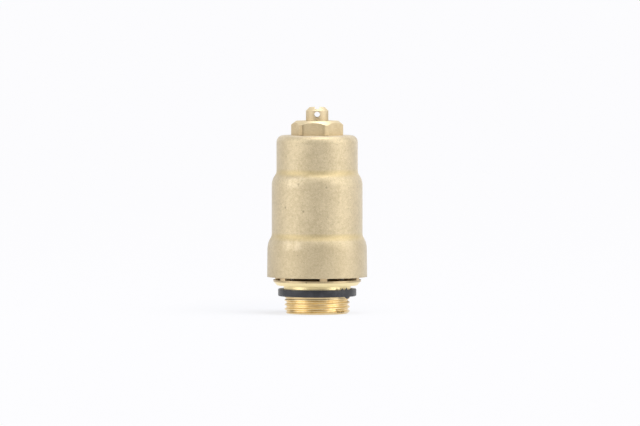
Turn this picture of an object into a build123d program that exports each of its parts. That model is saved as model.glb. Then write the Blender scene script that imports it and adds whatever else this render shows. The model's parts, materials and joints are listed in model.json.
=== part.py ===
from build123d import *
import os
from math import radians, tan

# Free-discharge safety valve in brass, in millimetres.
# The origin is the middle of the inlet's end face, and the axis of the valve is Z.

# Inlet: pipe thread G 3/4, drawn plain at its outside diameter
THREAD_DIA = 26.44
THREAD_LENGTH = 7.0
THREAD_CHAMFER = 0.9
INLET_BORE_DIA = 17.0
INLET_BORE_DEPTH = 9.5
INLET_MOUTH_CHAMFER = 0.8

# Sealing ring and the groove that holds it above the thread
RING_WIDTH = 3.4
RING_HEIGHT = 2.9
RING_EDGE = 0.3
GROOVE_DEPTH = 0.8
RING_FIT = 0.04
RING_PLAY = 0.1

# Neck and bevelled flange above the ring
NECK_STEP = 0.36
NECK_LENGTH = 1.2
UNDERSIDE_RISE = 0.25
BEVEL_WIDTH = 1.5
BEVEL_HEIGHT = 1.6
FLANGE_DIA = 35.6
RIM_HEIGHT = 0.65

# Ribs on the flange, which carry the hood and part the discharge openings
RIB_COUNT = 6
RIB_WIDTH = 3.0
RIB_DEPTH = 2.8
RIB_HEIGHT = 8.55
RIB_TURN = -81.5
DISCHARGE_GAP = 1.2

# Nozzle and its seat
NOZZLE_BORE_DIA = 12.0
NOZZLE_WALL = 2.6
NOZZLE_FOOT = 1.2
SEAT_RISE = 4.55
SEAT_LAND = 0.9
FUNNEL_ANGLE = 45.0

# Hood, outside: skirt, barrel and cap, joined by soft shoulders
SKIRT_WALL = 2.45
SKIRT_DRAFT = 0.15
SKIRT_LENGTH = 13.75
BARREL_STEP = 1.74
BARREL_LENGTH = 22.85
CAP_STEP = 1.92
CAP_LENGTH = 15.35
SKIRT_SHOULDER_ANGLE = 31.5
SKIRT_ROUND = 8.7
SKIRT_HOLLOW = 2.9
BARREL_SHOULDER_ANGLE = 37.0
BARREL_ROUND = 6.4
BARREL_HOLLOW = 2.8
CAP_EDGE = 2.7

# Hood, inside: screw fit on the ribs, guide bore, ledge that stops the lift, spring room
SCREW_FIT = 0.05
GUIDE_STEP = 0.2
STOP_LEDGE = 1.0
CAP_BORE_STEP = 0.9
ROOF_WALL = 6.0
HOOD_MOUTH_CHAMFER = 0.5

# Valve disc and its lift
LIFT = 3.0
STOP_GAP = 0.1
GUIDE_FIT = 0.06
COLLAR_WIDTH = 2.64
COLLAR_CLEARANCE = 2.5
COLLAR_HEIGHT = 3.5
VENT_COUNT = 8
VENT_DIA = 1.5
HUB_DIA = 12.0
HUB_HEIGHT = 3.0
SKIRT_LIP = 2.0
SKIRT_DROP = 1.0

# Soft seal, its washer and screw
SEAL_HEIGHT = 2.5
SEAL_FIT = 0.1
WASHER_DIA = 9.2
WASHER_HEIGHT = 1.2
SEAL_SCREW_DIA = 4.0
SEAL_SCREW_HEAD_DIA = 6.8
SEAL_SCREW_HEAD_HEIGHT = 1.6
SEAL_SCREW_SLOT_WIDTH = 1.0
SEAL_SCREW_SLOT_DEPTH = 0.7
SEAL_SCREW_WEB = 1.0
SEAL_SCREW_END_GAP = 0.2

# Ball, spindle and clip
BALL_DIA = 5.0
BALL_FIT = 0.05
BALL_DEPTH = 4.5
SPINDLE_DIA = 6.0
SPINDLE_CUP = 0.9
POCKET_FIT = 0.2
SPINDLE_COLLAR_DIA = 10.0
SPINDLE_COLLAR_HEIGHT = 1.8
SPINDLE_COLLAR_GAP = 0.3
SPINDLE_END_CHAMFER = 0.5
CLIP_WIRE = 0.8
CLIP_FIT = 0.05
CLIP_DEPTH = 1.4
CLIP_OPENING = 40.0

# Spring plates and spring
PLATE_HEIGHT = 2.5
PLATE_GAP = 1.2
PLATE_CHAMFER = 0.5
SPIGOT_HEIGHT = 2.5
SPIGOT_FIT = 0.2
LOWER_PLATE_FIT = 0.1
UPPER_PLATE_FIT = 0.3
WIRE_DIA = 2.6
SPRING_MEAN_DIA = 19.2
SPRING_TURNS = 6.0

# Adjusting screw M12 x 1, drawn plain, with its bush
SCREW_DIA = 11.9
SCREW_RUN = 0.06
SETTING_TRAVEL = 1.5
ROOF_GAP = 0.5
SCREW_END_CHAMFER = 0.6
SCREW_BORE_SPARE = 0.7
SPINDLE_GRIP = 4.2
BUSH_WALL = 1.15
BUSH_HEIGHT = 6.0
BUSH_RUN = 0.05
BUSH_FIT = 0.02
BUSH_SET = 0.4

# Slotted end of the adjusting screw
STUB_DIA = 9.1
STUB_HEIGHT = 5.55
STUB_CHAMFER = 1.45
STUB_FOOT = 0.5
SLOT_WIDTH = 1.8
SLOT_DEPTH = 0.9
WIRE_HOLE_DIA = 2.3
WIRE_HOLE_DROP = 2.95

# Lock nut
NUT_FLATS = 19.0
NUT_CORNER_DIA = 21.2
NUT_HEIGHT = 5.9
NUT_TOP_DIA = 17.2
NUT_TOP_DROP = 1.6
NUT_FOOT_CHAMFER = 0.2
NUT_MOUTH_CHAMFER = 0.5
NUT_TURN = -9.0

# Radii that several pieces share
thread_r = THREAD_DIA / 2
groove_r = thread_r - GROOVE_DEPTH
ring_inner_r = groove_r + RING_FIT
ring_r = ring_inner_r + RING_WIDTH
neck_r = thread_r + NECK_STEP
flange_r = FLANGE_DIA / 2
rib_inner_r = flange_r - RIB_DEPTH
hood_screw_r = flange_r + SCREW_FIT
skirt_r = hood_screw_r + SKIRT_WALL
barrel_r = skirt_r - SKIRT_DRAFT - BARREL_STEP
cap_r = barrel_r - CAP_STEP
guide_r = rib_inner_r + GUIDE_STEP
chamber_r = guide_r - STOP_LEDGE
cap_bore_r = chamber_r - CAP_BORE_STEP
inlet_r = INLET_BORE_DIA / 2
nozzle_r = NOZZLE_BORE_DIA / 2
nozzle_outer_r = nozzle_r + NOZZLE_WALL
spindle_r = SPINDLE_DIA / 2
pocket_r = spindle_r + POCKET_FIT
ball_r = BALL_DIA / 2
socket_r = ball_r + BALL_FIT
screw_r = SCREW_DIA / 2
bush_r = spindle_r + BUSH_RUN + BUSH_WALL
coil_inner_r = (SPRING_MEAN_DIA - WIRE_DIA) / 2
spigot_r = coil_inner_r - SPIGOT_FIT

# Heights from the inlet's end face up to the hood's top
groove_top = THREAD_LENGTH + RING_PLAY + RING_HEIGHT
neck_top = groove_top + NECK_LENGTH
bevel_foot = neck_top + UNDERSIDE_RISE
rim_foot = bevel_foot + BEVEL_HEIGHT
floor_z = rim_foot + RIM_HEIGHT
rib_top = floor_z + RIB_HEIGHT
hood_foot = floor_z + DISCHARGE_GAP
skirt_top = hood_foot + SKIRT_LENGTH
barrel_foot = skirt_top + BARREL_STEP / tan(radians(SKIRT_SHOULDER_ANGLE))
barrel_top = barrel_foot + BARREL_LENGTH
cap_foot = barrel_top + CAP_STEP / tan(radians(BARREL_SHOULDER_ANGLE))
hood_top = cap_foot + CAP_LENGTH
roof_z = hood_top - ROOF_WALL

# Heights of the disc, from the seat up
seat_z = floor_z + SEAT_RISE
seal_top = seat_z + SEAL_HEIGHT
collar_foot = rib_top + COLLAR_CLEARANCE
collar_top = collar_foot + COLLAR_HEIGHT
hub_top = collar_top + HUB_HEIGHT
ledge_z = collar_top + LIFT + STOP_GAP
ball_z = hub_top - BALL_DEPTH
seal_screw_hole_top = ball_z - socket_r - SEAL_SCREW_WEB
clip_z = hub_top - CLIP_DEPTH

# Heights of the spindle, spring and screw
spindle_collar_foot = hub_top + SPINDLE_COLLAR_GAP
lower_plate_z = spindle_collar_foot + SPINDLE_COLLAR_HEIGHT
spring_foot = lower_plate_z + PLATE_HEIGHT
screw_foot = roof_z - SETTING_TRAVEL - ROOF_GAP
spring_top = screw_foot - PLATE_HEIGHT
spindle_top = screw_foot + SPINDLE_GRIP
screw_bore_top = spindle_top + LIFT + SETTING_TRAVEL + SCREW_BORE_SPARE
nut_top = hood_top + NUT_HEIGHT
stub_foot = nut_top - STUB_FOOT
stub_top = nut_top + STUB_HEIGHT
wire_hole_z = stub_top - WIRE_HOLE_DROP


def turn(*points, mode=Mode.ADD):
    """Turn a closed outline of (radius, height) points about the axis of the valve."""
    with BuildSketch(Plane.XZ) as outline:
        with BuildLine():
            Polyline(*points, close=True)
        make_face()
    revolve(outline.sketch, axis=Axis.Z, mode=mode)


def save(piece, name):
    """Label a finished piece and write it to its own file."""
    piece.part.label = name
    export_step(piece.part, f"parts/{name}.step")


os.makedirs("parts", exist_ok=True)

# Inlet body: thread, groove, neck, flange, rib wall and nozzle are one turned piece
funnel_top = INLET_BORE_DEPTH + (inlet_r - nozzle_r) / tan(radians(FUNNEL_ANGLE))
with BuildPart() as inlet_body:
    turn(
        (inlet_r + INLET_MOUTH_CHAMFER, 0),
        (thread_r - THREAD_CHAMFER, 0),
        (thread_r, THREAD_CHAMFER),
        (thread_r, THREAD_LENGTH),
        (groove_r, THREAD_LENGTH),
        (groove_r, groove_top),
        (neck_r, groove_top),
        (neck_r, neck_top),
        (flange_r - BEVEL_WIDTH, bevel_foot),
        (flange_r, rim_foot),
        (flange_r, rib_top),
        (rib_inner_r, rib_top),
        (rib_inner_r, floor_z),
        (nozzle_outer_r + NOZZLE_FOOT, floor_z),
        (nozzle_outer_r, floor_z + NOZZLE_FOOT),
        (nozzle_outer_r, seat_z - NOZZLE_WALL + SEAT_LAND),
        (nozzle_r + SEAT_LAND, seat_z),
        (nozzle_r, seat_z),
        (nozzle_r, funnel_top),
        (inlet_r, INLET_BORE_DEPTH),
        (inlet_r, INLET_MOUTH_CHAMFER),
    )
    # Milled openings leave the six ribs standing
    with BuildSketch(Plane.XY.offset(floor_z)):
        Circle(flange_r + RIB_DEPTH)
        Circle(rib_inner_r - RIB_DEPTH / 2, mode=Mode.SUBTRACT)
        with PolarLocations(flange_r - RIB_DEPTH / 2, RIB_COUNT, start_angle=RIB_TURN):
            Rectangle(4 * RIB_DEPTH, RIB_WIDTH, mode=Mode.SUBTRACT)
    extrude(amount=2 * RIB_HEIGHT, mode=Mode.SUBTRACT)
save(inlet_body, "inlet_body")

# Sealing ring: square rubber section, seated under the neck's shoulder
with BuildPart() as sealing_ring:
    turn(
        (ring_inner_r, groove_top - RING_HEIGHT),
        (ring_r, groove_top - RING_HEIGHT),
        (ring_r, groove_top),
        (ring_inner_r, groove_top),
    )
    outer_edges = sealing_ring.edges().filter_by(GeomType.CIRCLE).group_by(SortBy.RADIUS)[-1]
    fillet(outer_edges, RING_EDGE)
save(sealing_ring, "sealing_ring")

# Hood: forged outside with soft shoulders, bored inside in steps
with BuildPart() as hood:
    with BuildSketch(Plane.XZ) as hood_outline:
        with BuildLine():
            outside = FilletPolyline(
                (skirt_r, hood_foot),
                (skirt_r - SKIRT_DRAFT, skirt_top),
                (barrel_r, barrel_foot),
                (barrel_r, barrel_top),
                (cap_r, cap_foot),
                (cap_r, hood_top),
                (screw_r + SCREW_RUN, hood_top),
                radius=[SKIRT_ROUND, SKIRT_HOLLOW, BARREL_ROUND, BARREL_HOLLOW, CAP_EDGE],
            )
            Polyline(
                outside @ 1,
                (screw_r + SCREW_RUN, roof_z),
                (cap_bore_r, roof_z),
                (cap_bore_r, barrel_top),
                (chamber_r, barrel_top),
                (chamber_r, ledge_z),
                (guide_r, ledge_z),
                (guide_r, rib_top),
                (hood_screw_r, rib_top),
                (hood_screw_r, hood_foot + HOOD_MOUTH_CHAMFER),
                (hood_screw_r + HOOD_MOUTH_CHAMFER, hood_foot),
                outside @ 0,
            )
        make_face()
    revolve(axis=Axis.Z)
save(hood, "hood")

# Valve disc: seal recess and lifting lip below, guide collar and spindle hub above
collar_r = guide_r - GUIDE_FIT
disc_r = collar_r - COLLAR_WIDTH
seal_recess_r = disc_r - SKIRT_LIP
with BuildPart() as valve_disc:
    turn(
        (SEAL_SCREW_DIA / 2 + SCREW_FIT, seal_top),
        (seal_recess_r, seal_top),
        (seal_recess_r, seat_z - SKIRT_DROP),
        (disc_r, seat_z - SKIRT_DROP),
        (disc_r, collar_foot),
        (collar_r, collar_foot),
        (collar_r, collar_top),
        (HUB_DIA / 2, collar_top),
        (HUB_DIA / 2, hub_top),
        (pocket_r, hub_top),
        (pocket_r, ball_z),
        (0, ball_z),
        (0, seal_screw_hole_top),
        (SEAL_SCREW_DIA / 2 + SCREW_FIT, seal_screw_hole_top),
    )
    # Round seat for the ball
    with Locations((0, 0, ball_z)):
        Sphere(socket_r, mode=Mode.SUBTRACT)
    # Groove for the spindle clip
    clip_outer_r = (spindle_r + pocket_r + CLIP_WIRE) / 2 + CLIP_FIT
    clip_half = CLIP_WIRE / 2 + CLIP_FIT
    turn(
        (spindle_r, clip_z - clip_half),
        (clip_outer_r, clip_z - clip_half),
        (clip_outer_r, clip_z + clip_half),
        (spindle_r, clip_z + clip_half),
        mode=Mode.SUBTRACT,
    )
    # Vents through the collar keep the spring room at outside pressure
    vent_circle_r = (disc_r + collar_r) / 2
    with BuildSketch(Plane.XY.offset(collar_foot)):
        with PolarLocations(vent_circle_r, VENT_COUNT):
            Circle(VENT_DIA / 2)
    extrude(amount=COLLAR_HEIGHT, mode=Mode.SUBTRACT)
save(valve_disc, "valve_disc")

# Soft seal: flat ring that lies on the seat
with BuildPart() as disc_seal:
    turn(
        (SEAL_SCREW_DIA / 2 + SCREW_FIT, seat_z),
        (seal_recess_r - SEAL_FIT, seat_z),
        (seal_recess_r - SEAL_FIT, seal_top),
        (SEAL_SCREW_DIA / 2 + SCREW_FIT, seal_top),
    )
save(disc_seal, "disc_seal")

# Washer that clamps the seal, inside the nozzle
with BuildPart() as seal_washer:
    turn(
        (SEAL_SCREW_DIA / 2 + SCREW_FIT, seat_z - WASHER_HEIGHT),
        (WASHER_DIA / 2, seat_z - WASHER_HEIGHT),
        (WASHER_DIA / 2, seat_z),
        (SEAL_SCREW_DIA / 2 + SCREW_FIT, seat_z),
    )
save(seal_washer, "seal_washer")

# Slotted screw that holds the washer
head_top = seat_z - WASHER_HEIGHT
head_foot = head_top - SEAL_SCREW_HEAD_HEIGHT
with BuildPart() as seal_screw:
    turn(
        (0, head_foot),
        (SEAL_SCREW_HEAD_DIA / 2, head_foot),
        (SEAL_SCREW_HEAD_DIA / 2, head_top),
        (SEAL_SCREW_DIA / 2, head_top),
        (SEAL_SCREW_DIA / 2, seal_screw_hole_top - SEAL_SCREW_END_GAP),
        (0, seal_screw_hole_top - SEAL_SCREW_END_GAP),
    )
    with BuildSketch(Plane.XY.offset(head_foot)):
        Rectangle(2 * SEAL_SCREW_HEAD_DIA, SEAL_SCREW_SLOT_WIDTH)
    extrude(amount=SEAL_SCREW_SLOT_DEPTH, mode=Mode.SUBTRACT)
save(seal_screw, "seal_screw")

# Ball between the disc and the spindle
with BuildPart() as spindle_ball:
    with Locations((0, 0, ball_z)):
        Sphere(ball_r)
save(spindle_ball, "spindle_ball")

# Spindle: cupped foot, clip groove, collar for the spring plate, chamfered top
clip_inner_r = (spindle_r + pocket_r - CLIP_WIRE) / 2 - CLIP_FIT
with BuildPart() as spindle:
    turn(
        (0, ball_z + SPINDLE_CUP),
        (spindle_r, ball_z + SPINDLE_CUP),
        (spindle_r, clip_z - clip_half),
        (clip_inner_r, clip_z - clip_half),
        (clip_inner_r, clip_z + clip_half),
        (spindle_r, clip_z + clip_half),
        (spindle_r, spindle_collar_foot),
        (SPINDLE_COLLAR_DIA / 2, spindle_collar_foot),
        (SPINDLE_COLLAR_DIA / 2, lower_plate_z),
        (spindle_r, lower_plate_z),
        (spindle_r, spindle_top - SPINDLE_END_CHAMFER),
        (spindle_r - SPINDLE_END_CHAMFER, spindle_top),
        (0, spindle_top),
    )
    with Locations((0, 0, ball_z)):
        Sphere(socket_r, mode=Mode.SUBTRACT)
save(spindle, "spindle")

# Open wire clip, half in the spindle and half in the hub
with BuildPart() as spindle_clip:
    with BuildSketch(Plane.XZ):
        with Locations(((spindle_r + pocket_r) / 2, clip_z)):
            Circle(CLIP_WIRE / 2)
    revolve(axis=Axis.Z, revolution_arc=360 - CLIP_OPENING)
save(spindle_clip, "spindle_clip")


def spring_plate_points(face_z, way, plate_r, bore_r):
    """Half section of a spring plate: face_z is where the spring sits, way is +1 if it sits on top."""
    back_z = face_z - way * PLATE_HEIGHT
    tip_z = face_z + way * SPIGOT_HEIGHT
    return [
        (bore_r, back_z),
        (plate_r - PLATE_CHAMFER, back_z),
        (plate_r, back_z + way * PLATE_CHAMFER),
        (plate_r, face_z),
        (spigot_r, face_z),
        (spigot_r, tip_z - way * PLATE_CHAMFER),
        (spigot_r - PLATE_CHAMFER, tip_z),
        (bore_r, tip_z),
    ]


# Lower spring plate, on the spindle's collar
with BuildPart() as lower_spring_plate:
    turn(*spring_plate_points(spring_foot, 1, chamber_r - PLATE_GAP, spindle_r + LOWER_PLATE_FIT))
save(lower_spring_plate, "lower_spring_plate")

# Upper spring plate, under the adjusting screw
with BuildPart() as upper_spring_plate:
    turn(*spring_plate_points(spring_top, -1, cap_bore_r - PLATE_GAP, spindle_r + UPPER_PLATE_FIT))
save(upper_spring_plate, "upper_spring_plate")

# Spring: round wire on a helix, both ends ground flat on the plates
spring_length = spring_top - spring_foot
spring_pitch = spring_length / SPRING_TURNS
with BuildPart() as spring:
    with BuildLine():
        coil = Helix(
            pitch=spring_pitch,
            height=spring_length,
            radius=SPRING_MEAN_DIA / 2,
            center=(0, 0, spring_foot),
        )
    with BuildSketch(Plane(origin=coil @ 0, z_dir=coil % 0)):
        Circle(WIRE_DIA / 2)
    sweep(is_frenet=True)
    with Locations((0, 0, spring_foot)):
        Cylinder(
            SPRING_MEAN_DIA,
            spring_length,
            align=(Align.CENTER, Align.CENTER, Align.MIN),
            mode=Mode.INTERSECT,
        )
save(spring, "spring")

# Adjusting screw: M12 shank, blind bore for the bush and spindle, slotted and drilled end
bush_bore_r = bush_r + BUSH_FIT
stub_r = STUB_DIA / 2
with BuildPart() as adjusting_screw:
    turn(
        (bush_bore_r, screw_foot),
        (screw_r - SCREW_END_CHAMFER, screw_foot),
        (screw_r, screw_foot + SCREW_END_CHAMFER),
        (screw_r, stub_foot - SCREW_END_CHAMFER),
        (screw_r - SCREW_END_CHAMFER, stub_foot),
        (stub_r, stub_foot),
        (stub_r, stub_top - STUB_CHAMFER),
        (stub_r - STUB_CHAMFER, stub_top),
        (0, stub_top),
        (0, screw_bore_top),
        (bush_bore_r, screw_bore_top),
    )
    # Screwdriver slot
    with BuildSketch(Plane.XY.offset(stub_top)):
        Rectangle(SLOT_WIDTH, 2 * STUB_DIA)
    extrude(amount=-SLOT_DEPTH, mode=Mode.SUBTRACT)
    # Hole for a sealing wire, straight through in the slot's direction
    with BuildSketch(Plane.XZ):
        with Locations((0, wire_hole_z)):
            Circle(WIRE_HOLE_DIA / 2)
    extrude(amount=STUB_DIA, both=True, mode=Mode.SUBTRACT)
save(adjusting_screw, "adjusting_screw")

# Guide bush for the spindle, pressed into the screw's foot
with BuildPart() as guide_bush:
    turn(
        (spindle_r + BUSH_RUN, screw_foot + BUSH_SET),
        (bush_r, screw_foot + BUSH_SET),
        (bush_r, screw_foot + BUSH_SET + BUSH_HEIGHT),
        (spindle_r + BUSH_RUN, screw_foot + BUSH_SET + BUSH_HEIGHT),
    )
save(guide_bush, "guide_bush")

# Lock nut: hexagon with turned corners and a steep top chamfer
with BuildPart() as lock_nut:
    with BuildSketch(Plane.XY.offset(hood_top)):
        RegularPolygon(NUT_FLATS / 2, 6, major_radius=False, rotation=NUT_TURN)
    extrude(amount=NUT_HEIGHT)
    turn(
        (screw_r + SCREW_RUN, hood_top),
        (NUT_CORNER_DIA / 2 - NUT_FOOT_CHAMFER, hood_top),
        (NUT_CORNER_DIA / 2, hood_top + NUT_FOOT_CHAMFER),
        (NUT_CORNER_DIA / 2, nut_top - NUT_TOP_DROP),
        (NUT_TOP_DIA / 2, nut_top),
        (screw_r + SCREW_RUN + NUT_MOUTH_CHAMFER, nut_top),
        (screw_r + SCREW_RUN, nut_top - NUT_MOUTH_CHAMFER),
        mode=Mode.INTERSECT,
    )
save(lock_nut, "lock_nut")
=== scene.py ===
import json
from math import atan2, cos, degrees, exp, pi, radians, sin, sqrt

import bmesh
import bpy
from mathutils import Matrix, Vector


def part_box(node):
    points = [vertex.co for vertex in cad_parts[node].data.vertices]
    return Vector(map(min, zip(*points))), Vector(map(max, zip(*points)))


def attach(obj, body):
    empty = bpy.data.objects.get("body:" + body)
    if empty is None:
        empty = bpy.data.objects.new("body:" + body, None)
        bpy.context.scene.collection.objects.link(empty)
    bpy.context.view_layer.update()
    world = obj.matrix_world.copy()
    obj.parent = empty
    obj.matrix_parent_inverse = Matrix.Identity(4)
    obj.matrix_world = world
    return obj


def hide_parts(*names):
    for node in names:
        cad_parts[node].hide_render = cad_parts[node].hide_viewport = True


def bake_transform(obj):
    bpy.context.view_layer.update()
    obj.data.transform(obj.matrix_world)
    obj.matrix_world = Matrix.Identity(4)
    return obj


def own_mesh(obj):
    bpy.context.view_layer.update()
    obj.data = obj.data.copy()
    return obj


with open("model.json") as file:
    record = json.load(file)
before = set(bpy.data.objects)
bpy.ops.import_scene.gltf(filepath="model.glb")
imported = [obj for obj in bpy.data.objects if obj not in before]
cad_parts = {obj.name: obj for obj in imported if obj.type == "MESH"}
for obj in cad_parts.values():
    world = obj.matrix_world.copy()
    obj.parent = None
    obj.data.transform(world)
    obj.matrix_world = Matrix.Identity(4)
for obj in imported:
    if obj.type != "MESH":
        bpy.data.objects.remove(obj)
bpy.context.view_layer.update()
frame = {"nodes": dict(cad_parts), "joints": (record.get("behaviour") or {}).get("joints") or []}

MM = 0.001

# The photograph: its size, where the valve's axis and foot stand in it, in pixels, and one pixel in metres
IMAGE_WIDTH = 640
IMAGE_HEIGHT = 426
AXIS_PIXEL_X = 316.65
FOOT_PIXEL_Y = 312.9
PIXEL = 0.4055 * MM

# Camera: a long lens, almost level
CAMERA_DISTANCE = 3.0
CAMERA_ELEVATION = radians(2.2)
SENSOR_WIDTH = 36.0

# Rubber ring: its place comes from the frame, its ragged flash from the photo
ring_low, ring_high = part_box("sealing_ring")
RING_PLAY = 0.1 * MM
RING_INNER = 12.46 * MM
RING_EDGE = 0.3 * MM
RING_LAND = 1.0 * MM
RING_STEPS_ROUND = 480
RING_CREASE = radians(60)

# Uneven outside of the ring: waves in a turn, depth, and start in radians
RING_WAVES = ((3, 0.04 * MM, 0.7), (11, 0.03 * MM, 0.0))

# Flash on the ring: degrees to the right of the front, half width in degrees, and reach in millimetres
FLASH_SPIKES = ((41.0, 1.6, 0.75), (50.0, 1.8, 0.95), (62.0, 2.0, 0.7))
FLASH_TAB = (52.0, 4.5, 0.75)

# Inlet thread G 3/4, from the valve's foot up to the ring's groove
thread_length = ring_low.z - RING_PLAY
THREAD_RADIUS = 13.22 * MM
THREAD_PITCH = 1.814 * MM
THREAD_DEPTH = 0.84 * MM
THREAD_CHAMFER = 0.9 * MM
THREAD_RUNOUT = 0.9 * MM
THREAD_STEPS_ROUND = 480
THREAD_STEPS_UP = 140
THREAD_CREASE = radians(35)
CREST_SHARE = 0.16
FLANK_SHARE = 0.68
ROOT_SOFTNESS = 0.22
GROOVE_DEPTH = 0.8 * MM

# Margins for finding the plain cylinder that the thread replaces, and for joining its doubled corners
CYLINDER_MARGIN_IN = 0.1 * MM
CYLINDER_MARGIN_UP = 0.02 * MM
JOIN_DISTANCE = 0.002 * MM

# Dents in the last crest of the thread: degrees to the right of the front, and half width in degrees
NICKS = ((40.0, 1.4), (44.5, 1.1), (50.0, 1.7), (55.5, 1.2))
NICK_HEIGHT = 1.0 * MM
NICK_REACH = 0.45 * MM
NICK_DEPTH = 0.6 * MM

# Dark stains in the same turn: degrees to the right of the front, half width in degrees, and share
STAINS = ((-56.0, 9.0, 0.4), (-10.0, 4.5, 0.3), (48.0, 9.0, 0.55))

# Heights on the inlet body, and over what height one finish there fades into the next
neck_foot = ring_high.z
NECK_HEIGHT = 1.2 * MM
DISCHARGE_GAP = 1.2 * MM
RIM_HEIGHT = 0.65 * MM
flange_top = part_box("hood")[0].z - DISCHARGE_GAP
rim_foot = flange_top - RIM_HEIGHT
NECK_FOOT_FADE = 0.2 * MM
NECK_TOP_FADE = 0.1 * MM
RIM_FADE = 0.3 * MM
MILLED_FADE = (flange_top - 0.02 * MM, flange_top + 0.08 * MM)

# Heights on the hood: where the painted shade low on the skirt fades out, and the hollows above the shoulders
SKIRT_SHADE_FADE = (27.6 * MM, 31.6 * MM)
HOLLOWS = (31.4 * MM, 57.2 * MM)
HOLLOW_REACH = 1.7 * MM

# Marks of use: degrees to the right of the front, then radius, height and size in millimetres
HOOD_PITS = (
    (-44.2, 18.4, 43.4, 0.62),
    (-17.5, 18.4, 42.0, 0.60),
    (-24.3, 18.2, 52.9, 0.60),
    (11.6, 18.3, 51.6, 0.55),
)
# Rubbed spots, which also paint a highlight on the left shoulders
HOOD_SCUFFS_AND_HIGHLIGHTS = (
    (-38.0, 18.1, 54.0, 3.6),
    (-27.0, 18.1, 54.0, 4.0),
    (-38.0, 19.7, 28.2, 3.4),
    (-24.0, 19.7, 28.2, 3.6),
)
RIM_NICK = (-14.3, 17.8, 13.2, 0.35)

# Dark streaks down the nut's corners: degrees to the right of the front, radius and width in mm, and share
NUT_STREAKS = ((-37.0, 10.55, 1.5, 0.44), (15.3, 9.9, 0.9, 0.2))

# Blasted brass: noise scales per metre, two tones, and layers over them, each a share and a colour
CLOUD_SCALE = 160.0
BLOTCH_SCALE = 900.0
GRAIN_SCALE = 2800.0
SPECK_SCALE = 1700.0
PIT_SCALE = 330.0
PITTED_AREA_SCALE = 210.0
BLASTED_TONES = ((0.56, 0.453, 0.272), (0.765, 0.642, 0.426))
# Painted shade that darkens the lower skirt
SKIRT_SHADE_LAYER = (0.17, (0.44, 0.34, 0.19))
# Yellower tone in the hollows: partly brass that the blasting reached less, partly a painted yellow
# reflection of light gathered in the hollows
HOLLOW_TONE_AND_REFLECTION_LAYER = (0.42, (0.66, 0.505, 0.20))
# Lighter rubbed spots, also a painted highlight on the left shoulders
SCUFF_AND_HIGHLIGHT_LAYER = (0.17, (0.86, 0.74, 0.56))
SPECK_LAYER = (0.25, (0.25, 0.19, 0.11))
PIT_LAYER = (0.38, (0.19, 0.13, 0.07))
BLASTED_METALLIC = 0.70
BLASTED_SHEEN = 0.42
BLASTED_ROUGH = (0.50, 0.64)
SCUFF_SMOOTHER = 0.08
BLASTED_RELIEF = 0.10 * MM

# Turned brass: noise scales and tool lines per metre, and what lies over its two tones
SMEAR_SCALE = 900.0
STAIN_SCALE = 210.0
COARSE_LINES = 7000.0
FINE_LINES = 9000.0
LINE_RELIEF = 0.04 * MM
# Lighter where a face looks up: partly the brighter turned finish of chamfers and tops, partly a painted
# highlight from above
TOP_FINISH_AND_HIGHLIGHT_LAYER = (0.45, (0.92, 0.80, 0.56))
STREAK_COLOUR = (0.26, 0.18, 0.09)

# Turned pieces: two tones and roughness
NUT_TONES = ((0.64, 0.51, 0.305), (0.80, 0.67, 0.445))
NUT_ROUGH = (0.47, 0.63)
SCREW_TONES = ((0.62, 0.51, 0.33), (0.77, 0.655, 0.455))
SCREW_ROUGH = (0.55, 0.71)
INNER_TONES = ((0.60, 0.42, 0.18), (0.78, 0.58, 0.28))
INNER_ROUGH = (0.23, 0.39)

# Inlet body: two tones each for the gold thread, the paler neck and the darker band at the rim under the
# hood, and what lies over them
THREAD_TONES = ((0.82, 0.62, 0.305), (0.95, 0.785, 0.50))
NECK_TONES = ((0.95, 0.775, 0.41), (1.0, 0.865, 0.515))
RIM_TONES = ((0.46, 0.35, 0.20), (0.60, 0.47, 0.28))
RIM_SHARE = 0.95
MILLED_LAYER = (1.0, (0.74, 0.58, 0.355))
# Painted shade on the thread's ends, under the ring and at the chamfered foot
THREAD_END_SHADE_LAYER = (0.4, (0.42, 0.29, 0.12))
NICK_LAYER = (0.8, (0.12, 0.08, 0.04))
INLET_ROUGH = (0.25, 0.38)
MILLED_ROUGHER = 0.20
NECK_ROUGHER = 0.04

# Rubber, steel and plastic: two tones and roughness
RING_TONES = ((0.014, 0.015, 0.020), (0.034, 0.035, 0.043))
RING_ROUGH = (0.42, 0.58)
RING_SHEEN = 0.27
RING_RELIEF = 0.04 * MM
SEAL_TONES = ((0.028, 0.018, 0.014), (0.060, 0.042, 0.034))
SEAL_ROUGH = (0.55, 0.7)
STEEL_TONES = ((0.50, 0.50, 0.51), (0.66, 0.66, 0.66))
STEEL_ROUGH = (0.22, 0.42)
STEEL_RELIEF = 0.03 * MM
BUSH_TONES = ((0.68, 0.67, 0.63), (0.78, 0.77, 0.73))
BUSH_ROUGH = (0.38, 0.5)

# Soft edges of the nut and the adjusting screw
SOFT_EDGE = 0.12 * MM
SOFT_EDGE_ANGLE = radians(28)

# Spring: turns in all, turns that lie closed at each end, and how much of the end wire is left by grinding.
# It parts at one turn into two pieces.
spring_low, spring_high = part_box("spring")
WIRE_RADIUS = 1.3 * MM
SPRING_TURNS = 8.0
CLOSED_TURNS = 1.0
CLOSED_RISE = 2.04 * WIRE_RADIUS
GROUND_SHARE = 0.55
PARTING_TURN = 5.25
PARTING_GAP = 0.0005
SPRING_STEPS_PER_TURN = 56
WIRE_SIDES = 16
WIRE_CREASE = radians(60)

# Studio: a white floor that bends up into a backdrop, in metres
SWEEP_SIDE = 8.0
SWEEP_FRONT = 4.5
SWEEP_BACK = 4.5
SWEEP_HEIGHT = 14.0
SWEEP_BEND = 1.0
SWEEP_STEPS = 12
PAPER_COLOUR = (0.80, 0.82, 0.87)
GLOW_COLOUR = (0.985, 0.983, 1.0)
GLOW_SHARE = 0.985

# Faint shade on the floor: its middle lies left of the valve and behind, and it runs back more than sideways
SHADE_SIDE = -0.016
SHADE_BACK = 0.03
SHADE_NARROW = 0.5
SHADE_REACH = 0.06
SHADE_SHARE = 0.26

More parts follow.
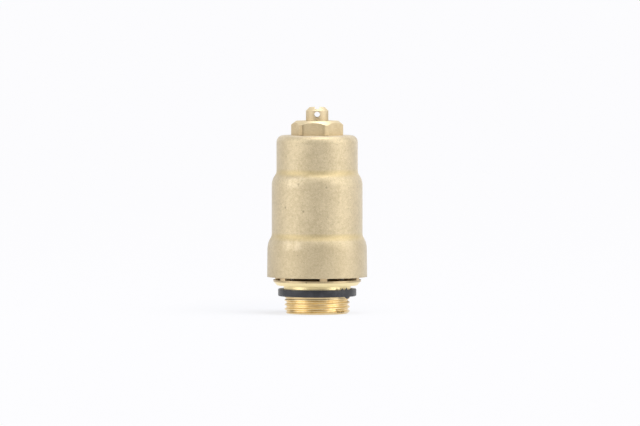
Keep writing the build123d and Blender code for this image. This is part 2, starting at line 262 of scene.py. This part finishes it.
# Light: grey surroundings, and soft boxes with place, width, height and power, aimed at one height
WORLD_COLOUR = (0.62, 0.63, 0.65)
WORLD_STRENGTH = 0.55
SOFT_BOXES = {
    "left_box": ((-0.75, -0.35, 0.35), 0.7, 0.9, 4.3),
    "right_box": ((0.75, -0.35, 0.35), 0.7, 0.9, 4.8),
    "top_box": ((0.12, -0.08, 0.97), 0.34, 0.34, 4.5),
}
AIM_HEIGHT = 0.045


class Value:
    """A number socket of a shader tree. Arithmetic on it adds Math nodes."""

    def __init__(self, finish, socket):
        self.finish = finish
        self.socket = socket

    def math(self, operation, first, second=0.0):
        return self.finish.node("ShaderNodeMath", {"operation": operation}, {0: first, 1: second})

    def __add__(self, other):
        return self.math("ADD", self, other)

    __radd__ = __add__

    def __sub__(self, other):
        return self.math("SUBTRACT", self, other)

    def __rsub__(self, other):
        return self.math("SUBTRACT", other, self)

    def __mul__(self, other):
        return self.math("MULTIPLY", self, other)

    __rmul__ = __mul__

    def __truediv__(self, other):
        return self.math("DIVIDE", self, other)

    def __rtruediv__(self, other):
        return self.math("DIVIDE", other, self)

    def __pow__(self, other):
        return self.math("POWER", self, other)

    def __rpow__(self, other):
        return self.math("POWER", other, self)

    def smaller(self, other):
        return self.math("MINIMUM", self, other)

    def larger(self, other):
        return self.math("MAXIMUM", self, other)

    def step(self, low, high):
        """Nought below low, one above high, and smooth between them."""
        settings = {"interpolation_type": "SMOOTHSTEP"}
        return self.finish.node("ShaderNodeMapRange", settings, {0: self, 1: low, 2: high, 3: 0.0, 4: 1.0})

    def range(self, low, high):
        """The value nought to one, laid between low and high."""
        sockets = {0: self, 1: 0.0, 2: 1.0, 3: low, 4: high}
        return self.finish.node("ShaderNodeMapRange", {"clamp": True}, sockets)


class Finish:
    """A procedural material: its nodes come from node(), and its shader from principled() or show()."""

    def __init__(self, name):
        self.material = bpy.data.materials.new(name)
        self.material.use_nodes = True
        self.tree = self.material.node_tree
        self.tree.nodes.clear()
        self.output = self.tree.nodes.new("ShaderNodeOutputMaterial")

    def node(self, kind, settings, inputs, out=0):
        """Adds a node, sets its settings first and its sockets next, and returns one of its outputs."""
        made = self.tree.nodes.new(kind)
        for key, value in settings.items():
            setattr(made, key, value)
        for key, value in inputs.items():
            self.feed(made.inputs[key], value)
        return Value(self, made.outputs[out])

    def feed(self, socket, value):
        """Links a Value to a socket, or sets the socket to a plain number, vector or colour."""
        if isinstance(value, Value):
            self.tree.links.new(value.socket, socket)
            return
        if socket.type == "RGBA":
            value = (*value, 1.0)
        socket.default_value = value

    def place(self):
        """The point on the piece, in metres, in the frame that all pieces share."""
        return self.node("ShaderNodeTexCoord", {}, {}, "Object")

    def facing(self):
        """The direction that the surface faces."""
        return self.node("ShaderNodeNewGeometry", {}, {}, "Normal")

    def parts(self, vector):
        """The X, Y and Z of a vector as three numbers."""
        split = self.node("ShaderNodeSeparateXYZ", {}, {0: vector}).socket.node
        return [Value(self, socket) for socket in split.outputs]

    def vector(self, x, y, z):
        return self.node("ShaderNodeCombineXYZ", {}, {0: x, 1: y, 2: z})

    def noise(self, at, scale, detail=2.0, rough=0.5):
        sockets = {"Vector": at, "Scale": scale, "Detail": detail, "Roughness": rough}
        return self.node("ShaderNodeTexNoise", {}, sockets, "Fac")

    def cells(self, at, scale):
        """Distance to the nearest of many scattered points."""
        return self.node("ShaderNodeTexVoronoi", {}, {"Vector": at, "Scale": scale}, "Distance")

    def tool_lines(self, at, scale):
        """Fine lines round the axis, as a lathe leaves them."""
        x, y, z = self.parts(at)
        radius = (x * x + y * y) ** 0.5
        return self.noise(self.vector(0.0, radius * scale, z * scale), 1.0, 2.0, 0.6)

    def turned_marks(self, at, line_scale):
        """Tool lines, the smears over them, and the tone that both give turned brass along with stains."""
        lines = self.tool_lines(at, line_scale)
        smear = self.noise(at, SMEAR_SCALE, 3.0, 0.6)
        stain = self.noise(at, STAIN_SCALE, 3.0, 0.55)
        tone = (lines * 0.5 + smear * 0.2 + stain * 0.3).step(0.34, 0.66)
        return lines, smear, tone

    def band(self, z, middle, reach):
        """One at a height, and nought beyond its reach above and below."""
        off = (z - middle) / reach
        return 1.0 - (off * off).smaller(1.0)

    def spot(self, at, point, core, edge):
        """One within the core of a point, and nought beyond its edge."""
        gap = self.node("ShaderNodeVectorMath", {"operation": "DISTANCE"}, {0: at, 1: point}, "Value")
        return 1.0 - gap.step(core, edge)

    def mark(self, at, mark, core_share):
        """A round mark of use: degrees to the right of the front, then radius, height and size in mm."""
        right, radius, height, size = mark
        point = mark_point(right, radius * MM, height * MM)
        return self.spot(at, point, size * MM * core_share, size * MM)

    def mix(self, share, first, second):
        """A colour between two colours."""
        return self.node("ShaderNodeMix", {"data_type": "RGBA"}, {0: share, 6: first, 7: second}, 2)

    def layer(self, colour, mask, layer):
        """A colour with another laid over it where the mask is one; the layer gives its share and colour."""
        share, tint = layer
        return self.mix(mask * share, colour, tint)

    def bump(self, height, strength, distance):
        sockets = {"Height": height, "Strength": strength, "Distance": distance}
        return self.node("ShaderNodeBump", {}, sockets)

    def principled(self, sockets):
        self.show(self.node("ShaderNodeBsdfPrincipled", {}, sockets))

    def show(self, shader):
        self.tree.links.new(shader.socket, self.output.inputs["Surface"])


def mark_point(right, radius, height):
    """A point on the valve: degrees to the right of the front, then radius and height in metres."""
    return (radius * sin(radians(right)), -radius * cos(radians(right)), height)


def blasted_brass():
    """Forged hood, sandblasted: fine grain, cloudy tone, painted shade on the lower skirt, dark pits, rubbed
    spots that also paint a highlight on the left shoulders, and yellower hollows, partly brass that the
    blasting reached less and partly a painted yellow reflection.
    """
    f = Finish("blasted_brass")
    at = f.place()
    z = f.parts(at)[2]
    cloud = f.noise(at, CLOUD_SCALE, 4.0, 0.6)
    blotch = f.noise(at, BLOTCH_SCALE, 3.0, 0.6)
    grain = f.noise(at, GRAIN_SCALE, 2.0, 0.7)
    specks = f.noise(at, SPECK_SCALE, 1.0).step(0.66, 0.72)
    pitted_area = f.noise(at, PITTED_AREA_SCALE, 1.0).step(0.58, 0.66)
    pit = (1.0 - f.cells(at, PIT_SCALE).step(0.05, 0.12)) * pitted_area
    for mark in HOOD_PITS:
        pit = pit.larger(f.mark(at, mark, 1 / 2))
    # Rubbed spots: smoother, and lighter as a painted highlight on the left shoulders
    scuff_and_highlight = 0.0
    for mark in HOOD_SCUFFS_AND_HIGHLIGHTS:
        scuff_and_highlight = f.mark(at, mark, 1 / 4) + scuff_and_highlight
    scuff_and_highlight = scuff_and_highlight.smaller(1.0) * blotch.step(0.25, 0.60)
    # Mask of the hollows, where a painted yellow reflection lies over the yellower brass
    hollow_tone_and_reflection = 0.0
    for height in HOLLOWS:
        hollow_tone_and_reflection = f.band(z, height, HOLLOW_REACH) + hollow_tone_and_reflection
    tone = (cloud * 0.25 + blotch * 0.30 + grain * 0.45).step(0.335, 0.665)
    colour = f.mix(tone, *BLASTED_TONES)
    # Painted shade on the lower skirt, below a height
    colour = f.layer(colour, 1.0 - z.step(*SKIRT_SHADE_FADE), SKIRT_SHADE_LAYER)
    colour = f.layer(colour, hollow_tone_and_reflection, HOLLOW_TONE_AND_REFLECTION_LAYER)
    colour = f.layer(colour, scuff_and_highlight, SCUFF_AND_HIGHLIGHT_LAYER)
    colour = f.layer(colour, specks, SPECK_LAYER)
    colour = f.layer(colour, pit, PIT_LAYER)
    f.principled(
        {
            "Base Color": colour,
            "Metallic": BLASTED_METALLIC,
            "Roughness": grain.range(*BLASTED_ROUGH) - scuff_and_highlight * SCUFF_SMOOTHER,
            "Sheen Weight": BLASTED_SHEEN,
            "Sheen Roughness": 0.5,
            "Normal": f.bump(grain * 0.8 + blotch * 0.5 - pit * 0.9, 0.5, BLASTED_RELIEF),
        }
    )
    return f.material


def turned_brass(name, tones, rough, line_scale, streaks=()):
    """Machined brass with fine tool lines round the axis, lighter faces that look up, partly the brighter
    turned finish of chamfers and tops and partly a painted highlight, and dark streaks.
    """
    f = Finish(name)
    at = f.place()
    lines, smear, tone = f.turned_marks(at, line_scale)
    # Faces that look up, lighter: partly turned finish, partly painted highlight
    top_finish_and_highlight = f.parts(f.facing())[2].step(0.25, 0.45)
    colour = f.layer(f.mix(tone, *tones), top_finish_and_highlight, TOP_FINISH_AND_HIGHLIGHT_LAYER)
    x, y = f.parts(at)[:2]
    level = f.vector(x, y, 0.0)
    for right, radius, width, share in streaks:
        streak = f.mark(level, (right, radius, 0.0, width), 1 / 3)
        colour = f.mix(streak * (1.0 - top_finish_and_highlight) * share, colour, STREAK_COLOUR)
    f.principled(
        {
            "Base Color": colour,
            "Metallic": 1.0,
            "Roughness": (lines * 0.5 + smear * 0.5).range(*rough),
            "Normal": f.bump(lines, 0.25, LINE_RELIEF),
        }
    )
    return f.material


def inlet_brass():
    """Inlet body: gold thread with painted shade at its ends, paler neck and flange, a darker band at the rim
    under the hood, milled ribs, and the dark marks of knocks.
    """
    f = Finish("inlet_brass")
    at = f.place()
    z = f.parts(at)[2]
    lines, smear, tone = f.turned_marks(at, FINE_LINES)
    above_ring = z.step(neck_foot - NECK_FOOT_FADE, neck_foot)
    neck_top = neck_foot + NECK_HEIGHT
    neck = above_ring - z.step(neck_top - NECK_TOP_FADE, neck_top)
    rim = z.step(rim_foot - RIM_FADE, rim_foot)
    milled = z.step(*MILLED_FADE)
    chamfered = 1.0 - z.step(0.0, 2 * THREAD_CHAMFER)
    # Painted shade at the thread's chamfered foot and under the ring
    thread_end_shade = chamfered.larger(z.step(thread_length - THREAD_RUNOUT, thread_length))
    nick = f.mark(at, RIM_NICK, 1 / 2)
    for right, half in NICKS:
        dent = mark_point(right, THREAD_RADIUS - NICK_DEPTH / 2, NICK_HEIGHT)
        width = radians(half) * THREAD_RADIUS
        nick = nick.larger(f.spot(at, dent, width, width * 1.8))
    last_turn = f.band(z, NICK_HEIGHT, NICK_REACH)
    for right, half, share in STAINS:
        middle = mark_point(right, THREAD_RADIUS, NICK_HEIGHT)
        width = radians(half) * THREAD_RADIUS
        nick = nick.larger(f.spot(at, middle, width / 2, width * 1.2) * last_turn * share)
    thread = f.layer(f.mix(tone, *THREAD_TONES), thread_end_shade, THREAD_END_SHADE_LAYER)
    colour = f.mix(above_ring, thread, f.mix(tone, *NECK_TONES))
    # Darker band from the flange's rim up into the gap under the hood
    colour = f.mix(rim * RIM_SHARE, colour, f.mix(tone, *RIM_TONES))
    colour = f.layer(colour, milled, MILLED_LAYER)
    rough = (lines * 0.5 + smear * 0.5).range(*INLET_ROUGH)
    f.principled(
        {
            "Base Color": f.layer(colour, nick, NICK_LAYER),
            "Metallic": 1.0,
            "Roughness": rough + milled * MILLED_ROUGHER + neck * NECK_ROUGHER,
            "Normal": f.bump(lines, 0.2, LINE_RELIEF),
        }
    )
    return f.material


def ring_rubber():
    """Black moulded rubber, faintly dusty."""
    f = Finish("ring_rubber")
    at = f.place()
    dust = f.noise(at, 420.0, 4.0, 0.65)
    grain = f.noise(at, 2400.0, 2.0)
    f.principled(
        {
            "Base Color": f.mix(dust.step(0.45, 0.75), *RING_TONES),
            "Roughness": dust.range(*RING_ROUGH),
            "Sheen Weight": RING_SHEEN,
            "Normal": f.bump(grain, 0.2, RING_RELIEF),
        }
    )
    return f.material


def seal_rubber():
    """Brown-black soft seal inside the valve."""
    f = Finish("seal_rubber")
    dust = f.noise(f.place(), 500.0, 3.0, 0.6)
    f.principled({"Base Color": f.mix(dust, *SEAL_TONES), "Roughness": dust.range(*SEAL_ROUGH)})
    return f.material


def ground_steel():
    """Stainless steel of the spring, spindle, ball, clip, washer and seal screw."""
    f = Finish("ground_steel")
    at = f.place()
    lines = f.tool_lines(at, FINE_LINES)
    smear = f.noise(at, 700.0, 3.0)
    f.principled(
        {
            "Base Color": f.mix(smear, *STEEL_TONES),
            "Metallic": 1.0,
            "Roughness": lines.range(*STEEL_ROUGH),
            "Normal": f.bump(lines, 0.15, STEEL_RELIEF),
        }
    )
    return f.material


def bush_plastic():
    """Off-white bearing plastic of the guide bush."""
    f = Finish("bush_plastic")
    cloud = f.noise(f.place(), 400.0, 3.0)
    f.principled({"Base Color": f.mix(cloud, *BUSH_TONES), "Roughness": cloud.range(*BUSH_ROUGH)})
    return f.material


def sweep_paper():
    """White paper: almost all glow where the camera or a mirror sees it, and clear from behind and below."""
    f = Finish("white_sweep")
    seen = f.node("ShaderNodeLightPath", {}, {}, "Is Camera Ray")
    mirrored = f.node("ShaderNodeLightPath", {}, {}, "Is Glossy Ray")
    through = f.node("ShaderNodeLightPath", {}, {}, "Is Transmission Ray")
    x, y = f.parts(f.place())[:2]
    side = x - SHADE_SIDE
    deep = (y - SHADE_BACK) * SHADE_NARROW
    near = 1.0 - ((side * side + deep * deep) ** 0.5).step(0.0, SHADE_REACH)
    share = seen.larger(mirrored).larger(through) * GLOW_SHARE - seen * near * SHADE_SHARE
    paper = f.node("ShaderNodeBsdfDiffuse", {}, {"Color": PAPER_COLOUR})
    glow = f.node("ShaderNodeEmission", {}, {"Color": GLOW_COLOUR, "Strength": 1.0})
    lit = f.node("ShaderNodeMixShader", {}, {0: share, 1: paper, 2: glow})
    behind = f.node("ShaderNodeNewGeometry", {}, {}, "Backfacing")
    clear = f.node("ShaderNodeBsdfTransparent", {}, {})
    f.show(f.node("ShaderNodeMixShader", {}, {0: behind, 1: lit, 2: clear}))
    return f.material


def dress(obj, material):
    """Gives a piece one material over all its faces."""
    obj.data.materials.clear()
    obj.data.materials.append(material)


def soften(obj):
    """Rounds the hard edges of a machined piece, so that they catch the light."""
    bevel = obj.modifiers.new("soft_edges", "BEVEL")
    bevel.width = SOFT_EDGE
    bevel.segments = 2
    bevel.limit_method = "ANGLE"
    bevel.angle_limit = SOFT_EDGE_ANGLE


def mesh_object(name, bm, material):
    """An object in the scene from a finished bmesh, with one material."""
    mesh = bpy.data.meshes.new(name)
    bm.to_mesh(mesh)
    bm.free()
    obj = bpy.data.objects.new(name, mesh)
    bpy.context.scene.collection.objects.link(obj)
    dress(obj, material)
    return obj


def mesh_piece(name, bm, material, node, crease):
    """Makes a piece that stands for a node; edges turned by more than the crease stay sharp."""
    bm.normal_update()
    for edge in bm.edges:
        edge.smooth = edge.calc_face_angle(pi) < crease
    obj = mesh_object(name, bm, material)
    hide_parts(node)
    return obj


def row_round(bm, count, profile):
    """A closed row of vertices round the axis; the profile gives radius and height at an angle."""
    row = []
    for k in range(count):
        angle = 2 * pi * k / count
        radius, z = profile(angle)
        row.append(bm.verts.new((radius * cos(angle), radius * sin(angle), z)))
    return row


def skin(bm, rows):
    """Smooth faces between closed rows of vertices."""
    for lower, upper in zip(rows, rows[1:]):
        count = len(lower)
        for i in range(count):
            j = (i + 1) % count
            face = bm.faces.new((lower[i], lower[j], upper[j], upper[i]))
            face.smooth = True


def right_of_front(angle):
    """Degrees to the right of the front, for an angle round the axis from X."""
    return degrees(atan2(cos(angle), -sin(angle)))


def nick_depth(z, angle):
    """Depth of the dents that knocks have left in the last crest."""
    up = exp(-(((z - NICK_HEIGHT) / NICK_REACH) ** 4))
    right = right_of_front(angle)
    return NICK_DEPTH * up * sum(exp(-(((right - at) / half) ** 4)) for at, half in NICKS)


def thread_radius(z, angle):
    """Radius of the thread: straight flanks, soft crest and root, chamfered end, run-out at the ring."""
    turn = z / THREAD_PITCH - 0.5 - angle / (2 * pi)
    off_crest = abs(turn - round(turn)) * 2
    flank = min(max((off_crest - CREST_SHARE) / FLANK_SHARE, 0.0), 1.0)
    soft = flank * flank * (3 - 2 * flank)
    drop = flank * (1 - ROOT_SOFTNESS) + soft * ROOT_SOFTNESS
    drop *= min(max((thread_length - THREAD_RUNOUT / 3 - z) / THREAD_RUNOUT, 0.0), 1.0)
    lead = THREAD_RADIUS - THREAD_CHAMFER + z
    return min(THREAD_RADIUS - THREAD_DEPTH * drop, lead) - nick_depth(z, angle)


def threaded_inlet(material):
    """The inlet body with its real thread in place of the plain cylinder."""
    bm = bmesh.new()
    bm.from_mesh(frame["nodes"]["inlet_body"].data)
    bmesh.ops.remove_doubles(bm, verts=bm.verts, dist=JOIN_DISTANCE)
    inner = THREAD_RADIUS - THREAD_CHAMFER - CYLINDER_MARGIN_IN
    top = thread_length + CYLINDER_MARGIN_UP

    def on_thread(vert):
        return vert.co.z < top and sqrt(vert.co.x**2 + vert.co.y**2) > inner

    plain = [face for face in bm.faces if all(on_thread(vert) for vert in face.verts)]
    bmesh.ops.delete(bm, geom=plain, context="FACES")
    for face in bm.faces:
        face.smooth = True
    rows = []
    for i in range(THREAD_STEPS_UP + 1):
        z = thread_length * i / THREAD_STEPS_UP
        rows.append(row_round(bm, THREAD_STEPS_ROUND, lambda angle: (thread_radius(z, angle), z)))
    groove = THREAD_RADIUS - GROOVE_DEPTH
    rows.append(row_round(bm, THREAD_STEPS_ROUND, lambda angle: (groove, thread_length)))
    skin(bm, rows)
    piece = mesh_piece("threaded_inlet", bm, material, "inlet_body", THREAD_CREASE)
    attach(piece, "housing")


def flash_up(angle):
    """Height of the moulding flash that stands up from the ring."""
    right = right_of_front(angle)
    return MM * sum(high * exp(-(((right - at) / half) ** 2)) for at, half, high in FLASH_SPIKES)


def flash_down(angle):
    """Length of the tab of rubber that hangs below the ring."""
    at, half, low = FLASH_TAB
    return MM * low * exp(-(((right_of_front(angle) - at) / half) ** 4))


def rubber_ring(material):
    """Square-section rubber ring with ragged moulding flash on its right side."""
    foot = ring_low.z
    top = ring_high.z
    # From the foot to the top: inset from the outside, height, and shares of the flash below and above
    section = (
        (RING_LAND, foot, 0.0, 0.0),
        (RING_EDGE * 1.6, foot, 0.6, 0.0),
        (RING_EDGE, foot, 1.0, 0.0),
        (RING_EDGE * 0.3, foot + RING_EDGE * 0.3, 0.7, 0.0),
        (0.0, foot + RING_EDGE * 1.2, 0.0, 0.0),
        (0.0, top - RING_EDGE * 1.2, 0.0, 0.0),
        (RING_EDGE * 0.3, top - RING_EDGE * 0.3, 0.0, 0.5),
        (RING_EDGE, top, 0.0, 1.0),
        (RING_EDGE * 1.6, top, 0.0, 0.5),
        (RING_LAND, top, 0.0, 0.0),
    )

    def outside(angle):
        return ring_high.x + sum(depth * sin(count * angle + start) for count, depth, start in RING_WAVES)

    bm = bmesh.new()
    rows = [row_round(bm, RING_STEPS_ROUND, lambda angle: (RING_INNER, foot))]
    for inset, height, hangs, stands in section:

        def profile(angle):
            flash = stands * flash_up(angle) - hangs * flash_down(angle)
            return outside(angle) - inset, height + flash

        rows.append(row_round(bm, RING_STEPS_ROUND, profile))
    rows.append(row_round(bm, RING_STEPS_ROUND, lambda angle: (RING_INNER, top)))
    skin(bm, rows + [rows[0]])
    piece = mesh_piece("rubber_ring", bm, material, "sealing_ring", RING_CREASE)
    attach(piece, "housing")


def wire_height(turn):
    """Height of the wire's middle after so many turns: steep where open, touching where closed."""
    foot = spring_low.z + WIRE_RADIUS * GROUND_SHARE
    head = spring_high.z - WIRE_RADIUS * GROUND_SHARE
    open_turns = SPRING_TURNS - 2 * CLOSED_TURNS
    open_rise = (head - foot - 2 * CLOSED_TURNS * CLOSED_RISE) / open_turns
    opened = min(max(turn - CLOSED_TURNS, 0.0), open_turns)
    return foot + open_rise * opened + CLOSED_RISE * (turn - opened)


def spring_turns(name, first, last, material):
    """The spring's turns from first to last: a round wire, closed and ground flat at the spring's ends."""
    mean = spring_high.x - WIRE_RADIUS
    steps = round((last - first) * SPRING_STEPS_PER_TURN)
    bm = bmesh.new()
    rows = []
    for i in range(steps + 1):
        turn = first + (last - first) * i / steps
        angle = 2 * pi * turn
        row = []
        for k in range(WIRE_SIDES):
            around = 2 * pi * k / WIRE_SIDES
            radius = mean + WIRE_RADIUS * cos(around)
            z = min(max(wire_height(turn) + WIRE_RADIUS * sin(around), spring_low.z), spring_high.z)
            row.append(bm.verts.new((radius * cos(angle), radius * sin(angle), z)))
        rows.append(row)
    skin(bm, rows)
    bm.faces.new(rows[0])
    bm.faces.new(rows[-1])
    return mesh_piece(name, bm, material, "spring", WIRE_CREASE)


def wound_spring(material):
    """Compression spring in two pieces that part at one turn; the lower piece goes with the housing."""
    parting = wire_height(PARTING_TURN)
    lower = spring_turns("spring_lower_turns", 0.0, PARTING_TURN - PARTING_GAP, material)
    upper = spring_turns("spring_upper_turns", PARTING_TURN + PARTING_GAP, SPRING_TURNS, material)
    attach(lower, "housing")
    lift = next(joint for joint in frame["joints"] if joint["name"] == "valve_lift")["range_m"][1]
    length = parting - spring_low.z
    keep = (length - lift) / length
    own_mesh(lower)
    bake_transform(upper)


def white_sweep():
    """White floor that bends up into a backdrop."""
    outline = [(-SWEEP_FRONT, 0.0)]
    for i in range(SWEEP_STEPS + 1):
        bend = pi / 2 * i / SWEEP_STEPS
        outline.append((SWEEP_BACK - SWEEP_BEND * (1 - sin(bend)), SWEEP_BEND * (1 - cos(bend))))
    outline.append((SWEEP_BACK, SWEEP_HEIGHT))
    bm = bmesh.new()
    left = [bm.verts.new((-SWEEP_SIDE, y, z)) for y, z in outline]
    right = [bm.verts.new((SWEEP_SIDE, y, z)) for y, z in outline]
    for i in range(len(outline) - 1):
        face = bm.faces.new((left[i], right[i], right[i + 1], left[i + 1]))
        face.smooth = True
    mesh_object("sweep", bm, sweep_paper())


def soft_box(name, place, width, height, power):
    """A soft rectangular lamp that faces the middle of the valve."""
    lamp = bpy.data.lights.new(name, "AREA")
    lamp.shape = "RECTANGLE"
    lamp.size = width
    lamp.size_y = height
    lamp.energy = power
    obj = bpy.data.objects.new(name, lamp)
    obj.location = place
    aim = Vector((0, 0, AIM_HEIGHT)) - Vector(place)
    obj.rotation_euler = aim.to_track_quat("-Z", "Y").to_euler()
    bpy.context.scene.collection.objects.link(obj)


def studio_light():
    """Grey surroundings and the soft boxes."""
    world = bpy.data.worlds.new("studio")
    bpy.context.scene.world = world
    world.use_nodes = True
    surround = world.node_tree.nodes["Background"]
    surround.inputs["Color"].default_value = (*WORLD_COLOUR, 1.0)
    surround.inputs["Strength"].default_value = WORLD_STRENGTH
    for name, (place, width, height, power) in SOFT_BOXES.items():
        soft_box(name, place, width, height, power)


def photo_camera():
    """Long lens at the photograph's height and angle."""
    x = ((IMAGE_WIDTH - 1) / 2 - AXIS_PIXEL_X) * PIXEL
    z = (FOOT_PIXEL_Y - (IMAGE_HEIGHT - 1) / 2) * PIXEL
    away = Vector((0, -cos(CAMERA_ELEVATION), sin(CAMERA_ELEVATION)))
    camera = bpy.data.cameras.new("photo_camera")
    camera.sensor_width = SENSOR_WIDTH
    camera.lens = SENSOR_WIDTH * CAMERA_DISTANCE / (IMAGE_WIDTH * PIXEL)
    obj = bpy.data.objects.new("photo_camera", camera)
    obj.location = Vector((x, 0, z)) + away * CAMERA_DISTANCE
    obj.rotation_euler = (-away).to_track_quat("-Z", "Y").to_euler()
    bpy.context.scene.collection.objects.link(obj)
    bpy.context.scene.camera = obj


def dress_nodes(steel):
    """Materials of the pieces that keep their machined shape."""
    nodes = frame["nodes"]
    dress(nodes["hood"], blasted_brass())
    nut = turned_brass("nut_brass", NUT_TONES, NUT_ROUGH, COARSE_LINES, NUT_STREAKS)
    screw = turned_brass("screw_brass", SCREW_TONES, SCREW_ROUGH, COARSE_LINES)
    for name, brass in (("lock_nut", nut), ("adjusting_screw", screw)):
        dress(nodes[name], brass)
        soften(nodes[name])
    inner = turned_brass("inner_brass", INNER_TONES, INNER_ROUGH, FINE_LINES)
    for name in ("valve_disc", "lower_spring_plate", "upper_spring_plate"):
        dress(nodes[name], inner)
    for name in ("seal_washer", "seal_screw", "spindle_ball", "spindle", "spindle_clip"):
        dress(nodes[name], steel)
    dress(nodes["disc_seal"], seal_rubber())
    dress(nodes["guide_bush"], bush_plastic())


bpy.context.scene.view_settings.view_transform = "Standard"
white_sweep()
studio_light()
photo_camera()
spring_steel = ground_steel()
dress_nodes(spring_steel)
wound_spring(spring_steel)
threaded_inlet(inlet_brass())
rubber_ring(ring_rubber())
